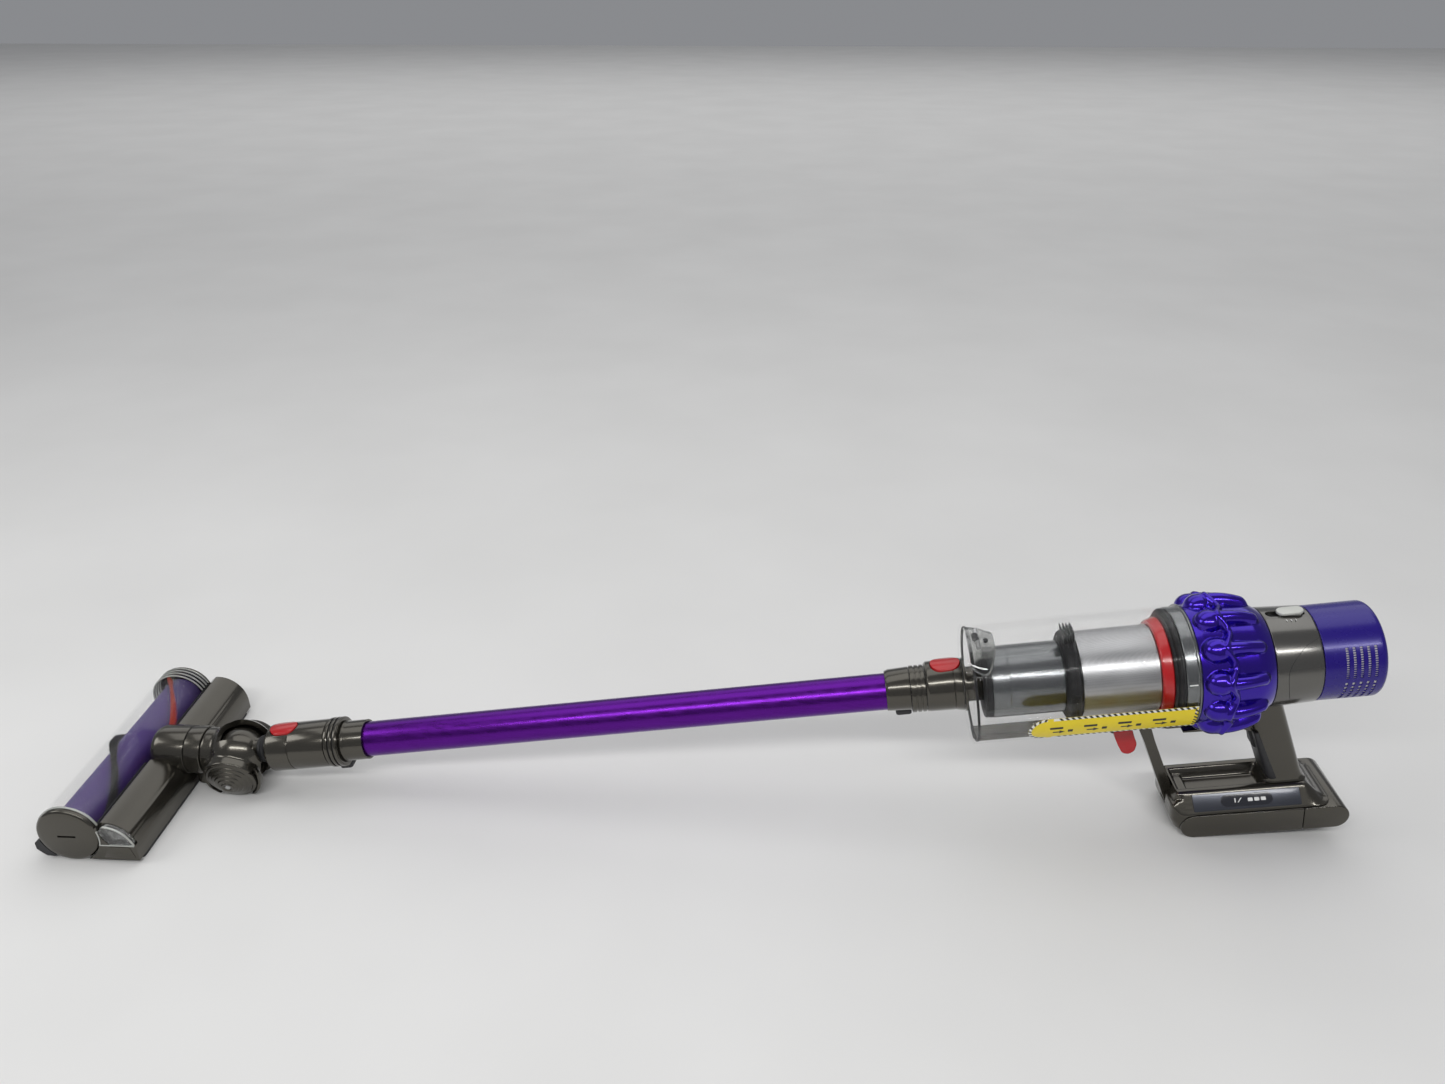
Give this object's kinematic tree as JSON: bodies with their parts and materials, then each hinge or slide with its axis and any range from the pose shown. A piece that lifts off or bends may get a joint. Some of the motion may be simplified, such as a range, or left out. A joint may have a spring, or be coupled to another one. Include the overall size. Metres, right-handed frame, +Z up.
{
  "type": "cordless stick vacuum",
  "caption": "Cordless stick vacuum lying on its handle base: swivelling brush head on domed wheels, tube wand, clear dust bin, ring of cyclones, twist-off filter and grip with battery.",
  "frame": {"origin": "on the floor below the middle of the overall length and width", "axes": "+X along the floor from the brush head to the filter end, +Y to the operator's right, +Z up"},
  "size_m": [1.2816, 0.25, 0.2509],
  "materials": {
    "nickel_plastic": "glossy metallic iron-nickel lacquer",
    "dark_plastic": "satin",
    "clear_plastic": "clear polycarbonate, polished",
    "purple_roller": "satin",
    "black_bristle": "fine filaments",
    "red_bristle": "stiff nylon filaments",
    "rubber": "matt",
    "steel": "brushed",
    "red_plastic": "glossy",
    "purple_anodised": "satin anodised",
    "grey_metallic": "glossy metallic lacquer",
    "steel_mesh": "finely perforated, satin",
    "violet_metallic": "glossy metallic lacquer",
    "silver_plastic": "satin",
    "filter_blue": "satin gloss",
    "filter_cloth": "pleated filter paper",
    "display_glass": "smoked gloss lens"
  },
  "bodies": {
    "main_body": {"pivot_ball": "dark_plastic", "head_connector": "nickel_plastic", "connector_collar": "nickel_plastic", "lower_button_spring": "steel", "wand_lower_fitting": "nickel_plastic", "wand_tube": "purple_anodised", "wand_upper_fitting": "nickel_plastic", "wand_cuff": "nickel_plastic", "upper_connector": "nickel_plastic", "upper_button_spring": "steel", "inlet_duct": "nickel_plastic", "bin_door": "clear_plastic", "door_seal": "rubber", "bin_tube": "clear_plastic", "bin_hinge_block": "clear_plastic", "fine_dust_tube": "grey_metallic", "fine_dust_seal": "rubber", "wiper_skirt": "rubber", "shroud_mesh": "steel_mesh", "red_collar": "red_plastic", "bin_seal": "rubber", "bin_rim": "grey_metallic", "cyclone_pack": "violet_metallic", "motor_housing": "nickel_plastic", "vacuum_motor": "steel", "bin_rail": "nickel_plastic", "handle_shell": "nickel_plastic", "trigger_spring": "steel", "front_strut": "nickel_plastic", "handle_base": "nickel_plastic", "display_lens": "display_glass", "battery_pack": "nickel_plastic", "battery_end_cover": "nickel_plastic"},
    "lower_button": {"lower_release_button": "red_plastic"},
    "upper_button": {"upper_release_button": "red_plastic"},
    "trigger_body": {"trigger": "dark_plastic"},
    "slider": {"power_slider": "silver_plastic"},
    "bin_lever": {"bin_release_lever": "red_plastic"},
    "filter": {"filter_cap": "filter_blue", "filter_media": "filter_cloth"},
    "fan": {"impeller": "dark_plastic"},
    "yoke": {"neck_yoke": "nickel_plastic", "wheel_axle_left": "steel", "wheel_axle_right": "steel"},
    "left_wheel": {"wheel_left": "nickel_plastic"},
    "right_wheel": {"wheel_right": "nickel_plastic"},
    "head": {"head_housing": "nickel_plastic", "sole_plate": "dark_plastic", "front_bumper": "dark_plastic", "brush_cover": "clear_plastic", "far_end_cap": "nickel_plastic", "neck_tube": "nickel_plastic", "roller_motor": "dark_plastic"},
    "head_end_cap": {"end_cap": "nickel_plastic"},
    "brush_roller": {"roller_tube": "purple_roller", "black_bristle_strip": "black_bristle", "red_bristle_strip": "red_bristle"},
    "left_sole_roller": {"sole_roller_left": "rubber"},
    "right_sole_roller": {"sole_roller_right": "rubber"}
  },
  "joints": [
    {"name": "neck_pitch", "type": "hinge", "parent": "main_body", "child": "yoke", "pos_m": [-0.48535, 0, 0.041], "axis": [0, 1, 0], "range_deg": [-8, 80]},
    {"name": "neck_swivel", "type": "hinge", "parent": "yoke", "child": "head", "pos_m": [-0.53635, 0, 0.041], "axis": [1, 0, 0], "range_deg": [-50, 50]},
    {"name": "left_wheel_spin", "type": "hinge", "parent": "yoke", "child": "left_wheel", "pos_m": [-0.48735, -0.03188, 0.02429], "axis": [0, 0.9659, 0.2588], "continuous": true},
    {"name": "right_wheel_spin", "type": "hinge", "parent": "yoke", "child": "right_wheel", "pos_m": [-0.48735, 0.03188, 0.02429], "axis": [0, 0.9659, -0.2588], "continuous": true},
    {"name": "brush_roller_spin", "type": "hinge", "parent": "head", "child": "brush_roller", "pos_m": [-0.60435, 0, 0.031], "axis": [0, 1, 0], "continuous": true},
    {"name": "end_cap_turn", "type": "hinge", "parent": "head", "child": "head_end_cap", "pos_m": [-0.60435, -0.121, 0.031], "axis": [0, 1, 0], "range_deg": [0, 90]},
    {"name": "left_sole_roller_spin", "type": "hinge", "parent": "head", "child": "left_sole_roller", "pos_m": [-0.55935, -0.088, 0.0061], "axis": [0, 1, 0], "continuous": true},
    {"name": "right_sole_roller_spin", "type": "hinge", "parent": "head", "child": "right_sole_roller", "pos_m": [-0.55935, 0.088, 0.0061], "axis": [0, 1, 0], "continuous": true},
    {"name": "lower_button_press", "type": "slide", "parent": "main_body", "child": "lower_button", "axis": [0.1476, 0, -0.9891], "range_m": [0, 0.0025], "stiffness_N_per_m": 600, "deforming": ["lower_button_spring"]},
    {"name": "upper_button_press", "type": "slide", "parent": "main_body", "child": "upper_button", "axis": [0.1476, 0, -0.9891], "range_m": [0, 0.0025], "stiffness_N_per_m": 600, "deforming": ["upper_button_spring"]},
    {"name": "trigger_pull", "type": "slide", "parent": "main_body", "child": "trigger_body", "axis": [0.9891, 0, 0.1476], "range_m": [0, 0.003], "stiffness_N_per_m": 800, "deforming": ["trigger_spring"]},
    {"name": "power_slide", "type": "slide", "parent": "main_body", "child": "slider", "axis": [-0.9891, 0, -0.1476], "range_m": [0, 0.008]},
    {"name": "bin_lever_slide", "type": "slide", "parent": "main_body", "child": "bin_lever", "axis": [-0.9891, 0, -0.1476], "range_m": [0, 0.01], "stiffness_N_per_m": 200},
    {"name": "filter_twist", "type": "hinge", "parent": "main_body", "child": "filter", "pos_m": [0.60063, 0, 0.20302], "axis": [0.9891, 0, 0.1476], "range_deg": [0, 30]},
    {"name": "impeller_spin", "type": "hinge", "parent": "main_body", "child": "fan", "pos_m": [0.50865, 0, 0.1893], "axis": [0.9891, 0, 0.1476], "continuous": true}
  ]
}
